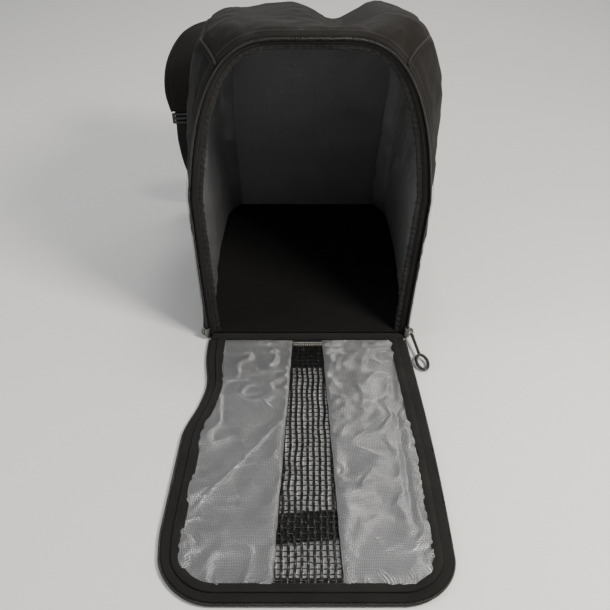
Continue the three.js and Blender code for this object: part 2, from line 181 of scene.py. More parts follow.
def oval_rings(path, side, normal, wide, high, sides):
    """An oval section at each point of a path, and the angles round it."""
    angle = 2 * math.pi * np.arange(sides) / sides
    wide, high = (np.broadcast_to(size, len(path))[:, None, None] for size in (wide, high))
    ring = path[:, None] + wide / 2 * np.cos(angle)[:, None] * side[:, None]
    return ring + high / 2 * np.sin(angle)[:, None] * normal[:, None], angle


def tube_parts(path, wide, high, sides, up=(0, 0, 1), offset=0):
    """Points and faces of a closed tube with an oval section; wide and high may vary along it, up is a hint."""
    path = np.asarray(path, float)
    tangent = unit(np.gradient(path, axis=0))
    side = unit(np.cross(tangent, up))
    ring, angle = oval_rings(path, side, np.cross(side, tangent), wide, high, sides)
    count = len(path) * sides
    faces = sheet_faces(len(path), sides, closed=True, offset=offset)
    faces.append([offset + v for v in range(sides)][::-1])
    faces.append([offset + count - sides + v for v in range(sides)])
    coords = np.stack(np.meshgrid(np.arange(len(path)) * 1.0, angle, indexing="ij"), axis=2)
    return ring.reshape(-1, 3), faces, coords.reshape(-1, 2)


def bundle(name, parts, material, body, nodes=()):
    """Several tubes in one object; parts holds the path, wide, high, sides and up of each."""
    points, faces, coords = [], [], []
    offset = 0
    for part in parts:
        more, quads, uv = tube_parts(*part, offset)
        points.append(more)
        faces += quads
        coords.append(uv)
        offset += len(more)
    return build(name, np.concatenate(points), faces, material, body, nodes, np.concatenate(coords))


def tubes(name, paths, wide, high, sides, material, body, nodes=(), up=(0, 0, 1)):
    """Several tubes of one section joined in one object."""
    return bundle(name, [(path, wide, high, sides, up) for path in paths], material, body, nodes)


def interpolate(at, known, rows):
    """The rows, given at the known places, interpolated at other places."""
    return np.stack([np.interp(at, known, rows[:, k]) for k in range(rows.shape[1])], axis=1)


def run_length(path):
    """Arc length from the start of a path to each of its points."""
    return np.append(0, np.cumsum(np.linalg.norm(np.diff(path, axis=0), axis=1)))


def resample(path, step):
    """The path at even steps of about the given length."""
    path = np.asarray(path, float)
    length = run_length(path)
    count = max(2, int(round(length[-1] / step)) + 1)
    return interpolate(np.linspace(0, length[-1], count), length, path)


def matched(path, count):
    """The path with the given number of points, spread evenly over the points it has."""
    return interpolate(np.linspace(0, 1, count), np.linspace(0, 1, len(path)), path)


def stacked(x, y, z):
    """A grid of points from coordinates that are broadcast to one another."""
    return np.stack(np.broadcast_arrays(*(np.asarray(part, float) for part in (x, y, z))), axis=-1)


def rough(points, size, seed):
    """Smooth noise from -1 to 1 at each point, with features about size mm across."""
    points = np.asarray(points, float)
    flat = points.reshape(-1, 3) / size + seed * 17.31
    values = np.array([noise.noise(Vector(p)) for p in flat])
    return values.reshape(points.shape[:-1])


def bell(x, width):
    return np.exp(-(x / width) ** 2)


def smooth(x, low, high):
    f = np.clip((x - low) / (high - low), 0, 1)
    return f * f * (3 - 2 * f)


# ---- materials ----
class Nodes:
    """A short way to write a material's node tree."""

    def __init__(self, name):
        self.material = bpy.data.materials.new(name)
        self.material.use_nodes = True
        self.tree = self.material.node_tree
        self.shader = self.tree.nodes["Principled BSDF"]

    def add(self, kind, inputs=None, **settings):
        node = self.tree.nodes.new("ShaderNode" + kind)
        for key, value in settings.items():
            setattr(node, key, value)
        for key, value in (inputs or {}).items():
            self.link(value, node.inputs[key])
        return node

    def link(self, value, socket):
        if isinstance(value, bpy.types.NodeSocket):
            self.tree.links.new(value, socket)
        else:
            socket.default_value = value

    def math(self, operation, a, b=0.0):
        return self.add("Math", {0: a, 1: b}, operation=operation).outputs[0]

    def mix(self, factor, a, b):
        node = self.add("Mix", data_type="RGBA")
        self.link(factor, node.inputs[0])
        self.link(a, node.inputs[6])
        self.link(b, node.inputs[7])
        return node.outputs[2]

    def ramp(self, value, low, high, start=0.0, end=1.0):
        return self.add("MapRange", {0: value, 1: low, 2: high, 3: start, 4: end}, clamp=True).outputs[0]

    def ribs(self, value, factor):
        """Rounded ridges side by side, 0 to 1."""
        return self.math("ABSOLUTE", self.math("SINE", self.math("MULTIPLY", value, factor)))

    def object_coords(self):
        return self.add("TexCoord").outputs["Object"]

    def weave_coords(self):
        return self.add("UVMap", uv_map="weave").outputs[0]

    def noise(self, vector, scale, detail=2.0):
        return self.add("TexNoise", {"Vector": vector, "Scale": scale, "Detail": detail}).outputs[0]

    def plain_weave(self, vector, pitch):
        """Height of a plain weave of flat yarns, 0 to 1, with the coordinates in mm."""
        scaled = self.add("VectorMath", {0: vector, 3: 1 / pitch}, operation="SCALE").outputs[0]
        parts = self.add("SeparateXYZ", {0: scaled})
        warp, weft = self.ribs(parts.outputs[0], math.pi), self.ribs(parts.outputs[1], math.pi)
        checker = self.add("TexChecker", {"Vector": scaled, "Scale": 1.0})
        return self.add("Mix", {0: checker.outputs[1], 2: warp, 3: weft}).outputs[0]

    def bump(self, height, distance, strength=1.0, below=None):
        node = self.add("Bump", {"Height": height, "Distance": distance, "Strength": strength})
        if below is not None:
            self.link(below, node.inputs["Normal"])
        return node.outputs[0]

    def surface(self, **sockets):
        names = {"colour": "Base Color", "rough": "Roughness", "metal": "Metallic", "normal": "Normal",
                 "coat": "Coat Weight", "coat_rough": "Coat Roughness", "sheen": "Sheen Weight",
                 "sheen_rough": "Sheen Roughness", "specular": "Specular IOR Level"}
        for key, value in sockets.items():
            self.link(value, self.shader.inputs[names[key]])
        return self.material


def woven_black(name, dark, light, pitch=0.9, sheen=0.04):
    """600-denier polyester: charcoal flecks on black, a fine plain weave and a faint cloudiness."""
    n = Nodes(name)
    weave = n.weave_coords()
    place = n.object_coords()
    fleck = n.noise(place, 900.0, 3.0)
    cloud = n.noise(place, 18.0, 3.0)
    thread = n.plain_weave(weave, pitch)
    tone = n.math("MULTIPLY", n.ramp(fleck, 0.35, 0.72), n.ramp(cloud, 0.1, 0.75))
    colour = n.mix(tone, (*dark, 1), (*light, 1))
    height = n.math("ADD", thread, n.math("MULTIPLY", fleck, 0.8))
    normal = n.bump(height, 0.00028, 0.75)
    return n.surface(colour=colour, rough=n.ramp(n.math("ADD", fleck, cloud), -1.6, 1.5), normal=normal,
                     sheen=sheen, sheen_rough=0.5, specular=0.22)


def silver_tarp(name):
    """Laminated woven-tape tarpaulin: flat tapes over and under with a painted highlight on the raised tapes and
    painted shade between them, a dull metallic skin, crumple marks.
    """
    n = Nodes(name)
    place = n.object_coords()
    tapes = n.plain_weave(n.weave_coords(), 1.75)
    crumple = n.noise(place, 38.0, 5.0)
    vein = n.add("TexVoronoi", {"Vector": place, "Scale": 42.0}, feature="DISTANCE_TO_EDGE").outputs[0]
    stain = n.noise(place, 12.0, 2.0)
    # Painted light: the weave's colour runs from dark between the tapes (painted shade) to near white on the raised
    # tapes (painted highlight).
    painted_tape_light = n.mix(n.ramp(tapes, 0.15, 0.85), (0.15, 0.154, 0.16, 1), (0.56, 0.565, 0.575, 1))
    colour = n.mix(n.ramp(stain, 0.3, 0.75), painted_tape_light, (0.42, 0.422, 0.43, 1))
    colour = n.mix(0.8, colour, painted_tape_light)
    folds = n.bump(crumple, 0.0016, 0.3)
    veins = n.bump(n.ramp(vein, 0.0, 0.05), 0.0004, 0.2, folds)
    normal = n.bump(tapes, 0.001, 1.0, veins)
    return n.surface(colour=colour, metal=0.8, rough=0.33, normal=normal, coat=0.12, coat_rough=0.3)


def ribbed(name, dark, light, pitch, rough_low, rough_high):
    """Narrow woven goods: ribs across the length, flecks and slight wear."""
    n = Nodes(name)
    parts = n.add("SeparateXYZ", {0: n.weave_coords()})
    rib, cross = n.ribs(parts.outputs[0], math.pi / pitch), n.ribs(parts.outputs[1], math.pi / 1.2)
    place = n.object_coords()
    fleck = n.noise(place, 700.0, 2.0)
    wear = n.noise(place, 25.0, 3.0)
    colour = n.mix(n.ramp(n.math("ADD", fleck, wear), 0.75, 1.35), (*dark, 1), (*light, 1))
    normal = n.bump(n.math("ADD", rib, n.math("MULTIPLY", cross, 0.5)), 0.0003, 0.8)
    return n.surface(colour=colour, rough=n.ramp(fleck, 0.3, 0.7, rough_low, rough_high), normal=normal, sheen=0.03,
                     sheen_rough=0.5, specular=0.25)


def moulded(name, colour, light, rough_low, rough_high, metal=0.0, coat=0.0, grain=600.0):
    """Moulded plastic, rubber or plated metal with a fine grain and handled patches."""
    n = Nodes(name)
    place = n.object_coords()
    fine = n.noise(place, grain, 2.0)
    broad = n.noise(place, 60.0, 3.0)
    tint = n.mix(n.ramp(broad, 0.3, 0.8), (*colour, 1), (*light, 1))
    return n.surface(colour=tint, rough=n.ramp(broad, 0.3, 0.75, rough_low, rough_high), metal=metal, coat=coat,
                     normal=n.bump(fine, 0.00008, 0.4))


BLACK = woven_black("black_polyester", (0.0026, 0.0022, 0.0018), (0.0215, 0.0185, 0.015))
PADDED = woven_black("strap_face_mesh", (0.0035, 0.003, 0.0025), (0.027, 0.0235, 0.0195), pitch=1.6)
BASE_BLACK = woven_black("base_black", (0.002, 0.0019, 0.0018), (0.006, 0.0055, 0.005), pitch=1.2, sheen=0.02)
SILVER = silver_tarp("silver_tarpaulin")
TAPE = ribbed("zip_tape_weave", (0.003, 0.0028, 0.0025), (0.011, 0.01, 0.0085), 0.8, 0.65, 0.9)
BINDING = ribbed("binding_weave", (0.0075, 0.007, 0.0064), (0.0275, 0.0258, 0.0236), 1.1, 0.7, 0.95)
FACING = ribbed("facing_weave", (0.0032, 0.0029, 0.0025), (0.014, 0.0125, 0.0105), 0.9, 0.65, 0.9)
WEBBING = ribbed("webbing_weave", (0.0045, 0.004, 0.0036), (0.018, 0.0165, 0.0145), 1.5, 0.55, 0.8)
COIL = moulded("coil_nylon", (0.007, 0.0066, 0.006), (0.02, 0.0185, 0.0165), 0.25, 0.42, coat=0.2)
MESH = moulded("coated_mesh", (0.006, 0.006, 0.006), (0.012, 0.012, 0.012), 0.16, 0.34, coat=0.5, grain=350.0)
METAL = moulded("plated_metal", (0.16, 0.155, 0.15), (0.3, 0.29, 0.28), 0.22, 0.4, metal=1.0)
RUBBER = moulded("moulded_rubber", (0.01, 0.0085, 0.007), (0.022, 0.018, 0.014), 0.38, 0.55)
PLASTIC = moulded("buckle_plastic", (0.01, 0.01, 0.01), (0.02, 0.02, 0.02), 0.3, 0.5)
THREAD = moulded("black_thread", (0.02, 0.019, 0.018), (0.05, 0.047, 0.043), 0.5, 0.7)
WHITE_THREAD = moulded("pale_thread", (0.42, 0.4, 0.36), (0.6, 0.58, 0.54), 0.5, 0.7)
GREY_THREAD = moulded("grey_thread", (0.1, 0.1, 0.1), (0.2, 0.2, 0.2), 0.5, 0.7)


# ---- camera, floor and light ----
def set_stage():
    camera = bpy.data.cameras.new("camera")
    camera.lens = 50.2
    seen = add_object("camera", camera)
    seen.location = (-0.003, FRONT * 0.001 - 0.868, 0.671)
    seen.rotation_euler = (math.radians(54.5), 0, 0)
    bpy.context.scene.camera = seen

    reach = 6.0
    floor = level_square("floor", (-reach, -reach), (reach, reach), 0)
    floor.location.z = -0.0012
    floor.data.materials.append(Nodes("pale_floor").surface(colour=(0.8, 0.79, 0.77, 1), rough=0.8))

    world = bpy.data.worlds.new("studio")
    world.use_nodes = True
    sky = world.node_tree.nodes["Background"].inputs
    sky[0].default_value = (0.93, 0.95, 1.0, 1)
    sky[1].default_value = 0.30
    bpy.context.scene.world = world

    for name, place, target, size, power, colour in (
            ("key", (0.75, -0.8, 1.1), (0.0, -0.3, 0.03), (0.4, 0.3), 25, (1.0, 0.95, 0.88)),
            ("top", (0.14, 0.06, 1.5), (0.0, -0.4, 0.0), (0.25, 0.2), 4, (1.0, 0.97, 0.92)),
            ("fill", (-1.6, -0.6, 1.2), (0.0, 0.0, 0.15), (1.2, 1.2), 12, (0.95, 0.97, 1.0)),
            ("rim", (0.3, 1.6, 1.5), (0.0, 0.1, 0.3), (1.2, 0.7), 14, (1.0, 0.98, 0.95))):
        light = bpy.data.lights.new(name, "AREA")
        light.shape = "RECTANGLE"
        light.size, light.size_y = size
        light.energy = power
        light.color = colour
        lamp = add_object(name, light)
        lamp.location = place
        lamp.rotation_euler = (Vector(target) - Vector(place)).to_track_quat("-Z", "Y").to_euler()


# ---- the shell of the bag ----
def section(v, t):
    """X and Z at v on the right half of the outline, t behind the opening."""
    behind = np.maximum(t, 0)
    top = ARCH_TOP + TOP_SWELL * (1 - np.exp(-behind / 20)) - TOP_DROP * (behind / DROP_DEPTH) ** DROP_POWER
    corner = np.maximum(0, (t - (DEPTH - CORNER_DEPTH)) / CORNER_DEPTH)
    wide = SIDE_BULGE * np.sin(math.pi * np.clip(t, 0, DEPTH) / DEPTH) - CORNER_INSET * corner ** 2
    base, spring = BASE_HALF + wide, SPRING_HALF + wide
    blend = smooth(t, 0, SQUARE_DEPTH)
    power = 2 / (ARCH_POWER + (BODY_POWER - ARCH_POWER) * blend)
    taper = ARCH_TAPER + (BODY_TAPER - ARCH_TAPER) * blend
    angle = np.clip(v - 1, 0, 1) * math.pi / 2
    up = np.sin(angle) ** power
    out = np.where(v > 2, 0.0, np.maximum(np.cos(angle), 0) ** power)
    flat = np.where(v > 2, FLAT_HALF * (3 - v), FLAT_HALF)
    x = np.where(v <= 1, base + (spring - base) * v, (flat + (spring - FLAT_HALF) * out) * (1 - taper * up))
    z = np.where(v <= 1, SPRING_Z * v, SPRING_Z + (top - SPRING_Z) * up)
    return x, z


def outline(u, t, d=0.0):
    """Points at u round the outline and t behind the opening, moved d inwards; u and t are arrays."""
    u, t, d = np.broadcast_arrays(np.asarray(u, float), np.asarray(t, float), np.asarray(d, float))
    sign = np.where(u > 3, -1.0, 1.0)
    v = np.where(u > 3, 6 - u, u)
    step = 0.002
    x, z = section(v, t)
    x0, z0 = section(np.maximum(v - step, 0), t)
    over = v + step > 3
    x1, z1 = section(np.where(over, 6 - v - step, v + step), t)
    x1 = np.where(over, -x1, x1)
    size = np.hypot(x1 - x0, z1 - z0)
    return np.stack([sign * (x - d * (z1 - z0) / size), FRONT + t, z + d * (x1 - x0) / size], axis=-1)


def settle(points):
    """The slump of the filled bag: two humps over the boots with a dip between, and a slight lean."""
    points = np.array(points, float)
    x, y, z = points[..., 0], points[..., 1], points[..., 2]
    t = y - FRONT
    high = smooth(z, 230, 380)
    behind = smooth(t, 6, 70)
    dip = -15 * bell(x - 24, 26) * behind
    humps = 3 * (bell(x + 40, 34) + bell(x - 68, 26)) * behind
    ripple = 2.2 * np.sin(x / 15 + t / 46) * behind
    points[..., 2] = z + high * (dip + humps + ripple - 5 * behind)
    points[..., 0] = x + 4 * smooth(z, 20, 320) + 5 * behind * smooth(z, 120, 320)
    return points


def pinned(grid, rows=3.0, columns=3.0):
    """1 in the middle of a grid, falling to 0 over the given number of cells at its edges."""
    n, m = grid.shape[:2]
    i = np.minimum(np.arange(n), n - 1 - np.arange(n)) / rows
    j = np.minimum(np.arange(m), m - 1 - np.arange(m)) / columns
    return np.clip(i, 0, 1)[:, None] * np.clip(j, 0, 1)[None, :]


def panel_grid(u_low, u_high, t_low, t_high, count_u, count_t, d=0.0):
    return outline(np.linspace(u_low, u_high, count_u)[:, None], np.linspace(t_low, t_high, count_t), d)


def crumpled(grid, amount, seed, size=48.0):
    """Moves all but the edges of a grid along its normals, one way only: broad swells and sharper folds."""
    broad = rough(grid, size, seed)
    fold = 1 - np.abs(rough(grid * np.array([1.0, 1.6, 1.0]), size * 0.7, seed + 5)) * 2.2
    small = rough(grid, size * 0.28, seed + 9)
    shift = 0.45 + 0.9 * broad + 0.45 * np.maximum(fold, 0) ** 2 + 0.22 * small
    moved = grid + (amount * np.maximum(shift, 0))[..., None] * grid_normals(grid)
    return grid + (moved - grid) * pinned(grid, 4, 4)[..., None]


# Where each fold starts, how far it leans for each mm back, its depth, its width on the top, and its reach.
TOP_CREASES = ((-62, -0.35, 3.4, 5.5, 60), (-96, -0.25, 2.4, 5.0, 50), (-18, 0.2, 1.6, 5.0, 45),
               (52, 0.35, 2.2, 5.5, 55), (92, 0.5, 3.6, 5.5, 60), (107, -0.2, 2.2, 4.0, 45))
SIDE_CREASES = ((60, 0.5, 2.2, 90), (130, 0.3, 2.6, 110), (190, -0.2, 2.4, 100), (262, -0.5, 2.8, 90))


def creases(grid):
    """Short folds that run back from the opening's edge."""
    x, t, z = grid[..., 0], grid[..., 1] - FRONT, grid[..., 2]
    down = 0 * x
    for place, lean, deep, wide, reach in TOP_CREASES:
        length = smooth(t, 3, 16) * (1 - smooth(t, 0.5 * reach, reach))
        down += 0.8 * deep * bell(x - place - lean * t, wide + 0.05 * t) * length
    for height, lean, deep, reach in SIDE_CREASES:
        length = smooth(t, 4, 25) * (1 - smooth(t, 0.5 * reach, reach))
        down += deep * bell(z - height - lean * t, 8.0) * length * smooth(np.abs(x), 100, 120)
    return grid + (down * pinned(grid))[..., None] * grid_normals(grid)


FOOT_U = 2.2 / SPRING_Z
CLOTH_THICK = 2.2


def make_shell():
    for name, u_low, u_high, count_u, amount, seed, node in (
            ("side_cloth_right", FOOT_U, SEAM_U, 110, 3.6, 1, "side_panel_right"),
            ("top_cloth", SEAM_U, 6 - SEAM_U, 130, 3.0, 3, "top_panel"),
            ("side_cloth_left", 6 - SEAM_U, 6 - FOOT_U, 110, 3.6, 2, "side_panel_left")):
        grid = settle(creases(crumpled(panel_grid(u_low, u_high, 1.6, DEPTH, count_u, 110), -amount, seed)))
        cloth(name, grid, CLOTH_THICK, BLACK, BODY, [node], side=-1)


def lining(name, grid, node, side=1):
    """A sheet of silver tarpaulin sewn in flat."""
    cut_sheet(cloth(name, grid, 0.6, SILVER, BODY, [node], side=side), grid)


def make_linings():
    inset, size = 7.4, 34.0
    low = 8.5 / SPRING_Z
    for name, u_low, u_high, seed in (("right", low, SEAM_U, 11), ("left", 6 - SEAM_U, 6 - low, 12)):
        grid = settle(panel_grid(u_low, u_high, RIM_DEPTH - 3, DEPTH - 3, 80, 90, inset))
        wavy = crumpled(grid, 3.0, seed, size)
        wavy = wavy + (0.5 + 2.5 * pinned(grid, 6, 6)[..., None]) * grid_normals(grid)
        lining(f"side_lining_cloth_{name}", wavy, f"side_lining_{name}")
    grid = panel_grid(SEAM_U, 6 - SEAM_U, RIM_DEPTH - 3, DEPTH - 3, 90, 80, inset)
    lining("top_lining_cloth", settle(crumpled(grid, 2.0, 14, size)), "top_lining")


def make_back():
    us = np.concatenate([np.linspace(3.4 / SPRING_Z, 1, 40), np.linspace(1, 1.97, 40)[1:]])
    edge = outline(us, DEPTH)
    across = np.linspace(-1, 1, 61)
    grid = stacked(edge[:, :1] * across, BACK_FACE, edge[:, 2:])
    pad = pinned(grid, 7, 7)
    channel = 1 - 0.75 * np.maximum.reduce([bell(grid[..., 2] - z, 4) for z in (70, 140, 210)])
    swell = 4.6 * pad * channel + 0.8 * rough(grid, 40, 21) * pad
    outer = grid.copy()
    outer[..., 1] += swell - 1.5
    cloth("back_pad_cloth", settle(outer), 2.0, PADDED, BODY, ["back_panel"])
    inside = stacked((edge[:, :1] - 3.2) * across, FRONT + DEPTH - 3.4, edge[:, 2:] - 3)
    inside[..., 1] -= np.abs(2.5 * rough(inside, 45, 22)) * pinned(inside, 4, 4)
    lining("back_lining_cloth", settle(inside), "back_lining", side=-1)


def base_grid(z, d, start, end):
    """A level grid at z, inset by d, from start to end behind the opening."""
    ts = np.linspace(start, end, 60)[:, None]
    half = outline(0.0, np.minimum(ts, DEPTH), d)[..., 0]
    return stacked(half * np.linspace(-1, 1, 50), FRONT + ts, z)


def make_base():
    under = base_grid(2.9, -0.5, 0.0, DEPTH + 2.5)
    cloth("base_cloth", under, 2.8, BLACK, BODY, ["base_panel"], side=-1)
    inside = base_grid(8.2, 4.6, 2.0, DEPTH - 2)
    inside[..., 2] += (1.2 * rough(inside, 50, 31) + 0.5 * rough(inside, 16, 32)) * pinned(inside, 3, 3)
    piece = cloth("base_lining_cloth", inside, 0.8, BASE_BLACK, BODY, ["base_lining"], side=-1)
    cut_sheet(piece, inside)
    dress("base_foam", moulded("foam_board", (0.05, 0.05, 0.05), (0.08, 0.08, 0.08), 0.8, 0.95, grain=900))


# ---- zip, tape and binding round the opening ----
def rim_path(t, d, step):
    """The line round the opening at t and d, at even steps."""
    return resample(settle(outline(np.linspace(FOOT_U, 6 - FOOT_U, 900), t, d)), step)


def piping(name, path, wide, high, body=BODY, sides=10, up=(0, 0, 1)):
    return tubes(name, [path], wide, high, sides, BINDING, body, up=up)


BOLD_STITCH = (2.6, 1.1, 0.7)


def stitches(name, path, out, body, stitch=(2.2, 1.1, 0.6), thread=THREAD):
    """Stitches laid along a path, lifted by out; stitch holds their length, the gap and the thread's thickness."""
    long, gap, thick = stitch
    out = np.asarray(out, float)
    path = resample(np.asarray(path, float) + out, long + gap)
    paths = []
    for a, b in zip(path[:-1], path[1:]):
        run = (b - a) * long / (long + gap)
        lift = out * 0.6
        paths.append([a, a + run * 0.3 + lift, a + run * 0.7 + lift, a + run])
    return tubes(name, paths, thick, thick, 5, thread, body)


COIL_PITCH = 2.0
LOOP_HOOK = ((1.5, 0.3), (0.2, 1.35), (-1.3, 1.0), (-1.9, -0.2), (-1.2, -1.2), (1.4, -0.9))   # inwards and up
LOOP_WIRE = 1.15
CORD_SECTION = (1.7, 1.5)


def coil_teeth(name, edge, inward, face, body, nodes):
    """A nylon coil: one hooked loop for each pitch, on a cord that runs through them."""
    parts = []
    for spot, side, up in zip(edge, inward, face):
        path = [spot + a * side + b * up for a, b in LOOP_HOOK]
        parts.append((path, LOOP_WIRE, LOOP_WIRE, 5, np.cross(path[1] - path[0], path[3] - path[1])))
    parts.append((edge, *CORD_SECTION, 6, face[0]))
    return bundle(name, parts, COIL, body, nodes)


def make_rim():
    us = np.linspace(FOOT_U, 6 - FOOT_U, 420)[:, None]
    tape = outline(us, [1.4, 1.9, 2.6, 3.6, 4.8], [2.4, 4.2, 6.2, 8.2, 10.0])
    cloth("zip_tape_body_cloth", settle(tape), 1.1, TAPE, BODY, ["zip_tape_body"], side=-1)

    edge = rim_path(-0.4, 0.9, COIL_PITCH)
    outward = unit(edge - matched(rim_path(-0.4, 3.9, COIL_PITCH), len(edge)))
    back = np.tile(np.array([0.0, 1.0, 0.0]), (len(edge), 1))
    coil_teeth("zip_coil_body_teeth", edge, back, outward, BODY, ["zip_coil_body"])

    stitches("tape_stitching", rim_path(2.0, 6.4, 1.0), (0, -0.4, 0), BODY, (2.2, 1.0, 0.6))
    stitches("edge_stitching", rim_path(7.5, -2.6, 1.0), (0, 0, 0.2), BODY, (2.4, 1.1, 0.6))
    line = rim_path(6.4, 12.4, 1.6)
    along = np.arange(len(line)) * 1.6
    pucker = 0.75 * np.sin(2 * math.pi * along / 8.5 + 5 * rough(line, 30, 41)) + 0.9 * rough(line, 4.0, 42)
    line = line + np.stack([0 * pucker, 0.8 * pucker, 0 * pucker], axis=1)
    tubes("opening_binding_fold", [line], 8.6 + 1.2 * pucker, 4.0 + 1.1 * np.roll(pucker, 1), 12, BINDING, BODY,
          ["opening_binding"], up=(0, 1, 0))
    stitches("binding_stitching", rim_path(4.4, 11.0, 1.0), (0, -0.4, 0), BODY, (2.0, 1.2, 0.6))


def make_seams():
    """Piped seams where the top meets the sides, and the bound seam round the back."""
    ts = np.linspace(2.5, DEPTH - 1, 124)
    for name, u in (("right", SEAM_U), ("left", 6 - SEAM_U)):
        ridge = settle(outline(u, ts, -1.2))
        piping(f"seam_piping_{name}", ridge, 3.6, 3.0)
        below = settle(outline(u + (-0.028 if name == "right" else 0.028), ts, -1.9))
        stitches(f"seam_stitching_{name}", below, (0, 0, 0.3), BODY, BOLD_STITCH)
    us = np.linspace(0.03, 5.97, 360)
    piping("back_seam_piping", settle(outline(us, DEPTH + 1.0, 0.5)), 4.2, 3.8, up=(0, 1, 0))
    for name, side in (("left", -1), ("right", 1)):
        foot = outline(0.012, np.linspace(3, DEPTH, 90), -0.4)
        foot[:, 0] *= side
        piping(f"base_seam_piping_{name}", foot, 3.4, 3.2, sides=8)


# ---- flap ----
def flap_half(s):
    return FLAP_HALF_NEAR + (FLAP_HALF_FAR - FLAP_HALF_NEAR) * s / FLAP_LENGTH


def window_half(s):
    return WINDOW_HALF_NEAR + (WINDOW_HALF_FAR - WINDOW_HALF_NEAR) * (s - WINDOW_NEAR) / (WINDOW_FAR - WINDOW_NEAR)


def lay(x, s, h):
    """Flap coordinates to the frame: x across, s from the hinge, h above the floor."""
    x, s, h = np.broadcast_arrays(np.asarray(x, float), np.asarray(s, float), np.asarray(h, float))
    right = 4.5 * np.sin(math.pi * np.clip(s / FLAP_LENGTH, 0, 1))
    left = 9 * bell(s - 92, 40) * smooth(s, 0, 30) - 8 * smooth(s, 125, 180) * (1 - smooth(s, 300, 385))
    share = np.minimum(np.abs(x) / 130, 1.05) ** 2
    return np.stack([x + share * np.where(x > 0, right, left), HINGE_Y - s - 4 * smooth(s, 150, 390), h], axis=-1)


CORNER_S = FLAP_LENGTH - FLAP_CORNER              # centre of the rounded corners at the flap's far end
CORNER_X = flap_half(CORNER_S) - FLAP_CORNER


def flap_line(o, h):
    """The flap's outline inset by o and h above the floor, from the right at the hinge round to the left."""
    side_s = np.linspace(FLAP_START, CORNER_S, 130)[:-1]
    angle = np.linspace(0, math.pi / 2, 36)
    across = np.linspace(CORNER_X, 0, 44)[1:]
    rows = [np.stack([flap_half(side_s) - o, side_s], 1),
            np.stack([CORNER_X + (FLAP_CORNER - o) * np.cos(angle), CORNER_S + (FLAP_CORNER - o) * np.sin(angle)], 1),
            np.stack([across, np.full(len(across), FLAP_LENGTH - o)], 1)]
    right = np.concatenate(rows)
    edge = np.concatenate([right, right[:-1][::-1] * np.array([-1.0, 1.0])])
    return lay(edge[:, 0], edge[:, 1], h)


def flap_band(insets, heights):
    """A grid round the flap's edge: a column for each inset with its height."""
    return np.stack([flap_line(o, h) for o, h in zip(insets, heights)], axis=1)


def edge_limit(s, o):
    """Half width of the flap at s, inset by o, corners included."""
    bend = CORNER_X + np.sqrt(np.maximum((FLAP_CORNER - o) ** 2 - np.maximum(s - CORNER_S, 0) ** 2, 0))
    return np.where(s < CORNER_S, flap_half(s) - o, bend)


def flap_side_grid(side, o, s_low, s_high, rows, columns, gap=0.0):
    """A grid over one side of the flap, from the window's edge to the inset outline."""
    turn = math.asin(min(1.0, (s_high - CORNER_S) / (FLAP_CORNER - o)))
    straight = np.linspace(s_low, CORNER_S, int(rows * 0.85))[:-1]
    bent = CORNER_S + (FLAP_CORNER - o) * np.sin(np.linspace(0, turn, rows - len(straight)))
    s = np.concatenate([straight, bent])[:, None]
    inner = window_half(s) + gap
    outer = np.maximum(edge_limit(s, o), inner + 1.0)
    return lay(side * (inner + (outer - inner) * np.linspace(0, 1, columns)), s, 0.0)


SILVER_LOW = 4.4
SPARE = 0.022          # how much larger than its frame the silver sheet is cut
SIM_FRAMES = 35


def simulate(grid, rest_height, spare, seed):
    """The silver sheet cut a little larger than its frame, sewn down round its edge: it buckles and puffs."""
    n, m = grid.shape[:2]
    mesh = bpy.data.meshes.new("sim")
    start = grid.copy()
    middle = pinned(grid, 6, 6)
    start[..., 2] = rest_height + (2.5 + 2.0 * rough(grid, 26, seed)) * middle
    mesh.from_pydata((start.reshape(-1, 3) * 0.001).tolist(), [], sheet_faces(n, m))
    obj = add_object("sim", mesh)
    scene = bpy.context.scene
    group = obj.vertex_groups.new(name="sewn")
    edge = [i * m + j for i in range(n) for j in range(m) if i in (0, n - 1) or j in (0, m - 1)]
    group.add(edge, 1.0, "REPLACE")
    low, high = grid.reshape(-1, 3).min(0) * 0.001 - 0.05, grid.reshape(-1, 3).max(0) * 0.001 + 0.05
    table = level_square("under", low, high, (rest_height - 1.0) * 0.001)
    table.modifiers.new("hit", "COLLISION")
    table.collision.thickness_outer = 0.0005
    cloth_mod = obj.modifiers.new("cloth", "CLOTH")
    for key, value in dict(quality=6, mass=0.25, tension_stiffness=18, compression_stiffness=18, shear_stiffness=8,
                           bending_stiffness=12.0, vertex_group_mass="sewn", pin_stiffness=1.0, shrink_min=-spare,
                           shrink_max=-spare, use_pressure=True, uniform_pressure_force=1.2).items():
        setattr(cloth_mod.settings, key, value)
    cloth_mod.collision_settings.distance_min = 0.0008
    for step in range(1, SIM_FRAMES + 1):
        scene.frame_set(step)
    done = obj.evaluated_get(bpy.context.evaluated_depsgraph_get()).to_mesh()
    points = np.empty(len(done.vertices) * 3)
    done.vertices.foreach_get("co", points)
    result = points.reshape(n, m, 3) * 1000
    scene.frame_set(1)
    bpy.data.objects.remove(obj)
    bpy.data.objects.remove(table)
    return result


def refine(grid, times):
    """The grid with times as many cells each way, smoothly interpolated."""
    for axis in (0, 1):
        count = grid.shape[axis]
        new = np.linspace(0, count - 1, (count - 1) * times + 1)
        low = np.clip(new.astype(int), 0, count - 2)
        f = (new - low).reshape([-1 if k == axis else 1 for k in range(3)])
        take = lambda k: np.take(grid, np.clip(low + k, 0, count - 1), axis=axis)
        a, b, c, d = take(-1), take(0), take(1), take(2)
        grid = 0.5 * (2 * b + (c - a) * f + (2 * a - 5 * b + 4 * c - d) * f ** 2 + (3 * b - a - 3 * c + d) * f ** 3)
    return grid


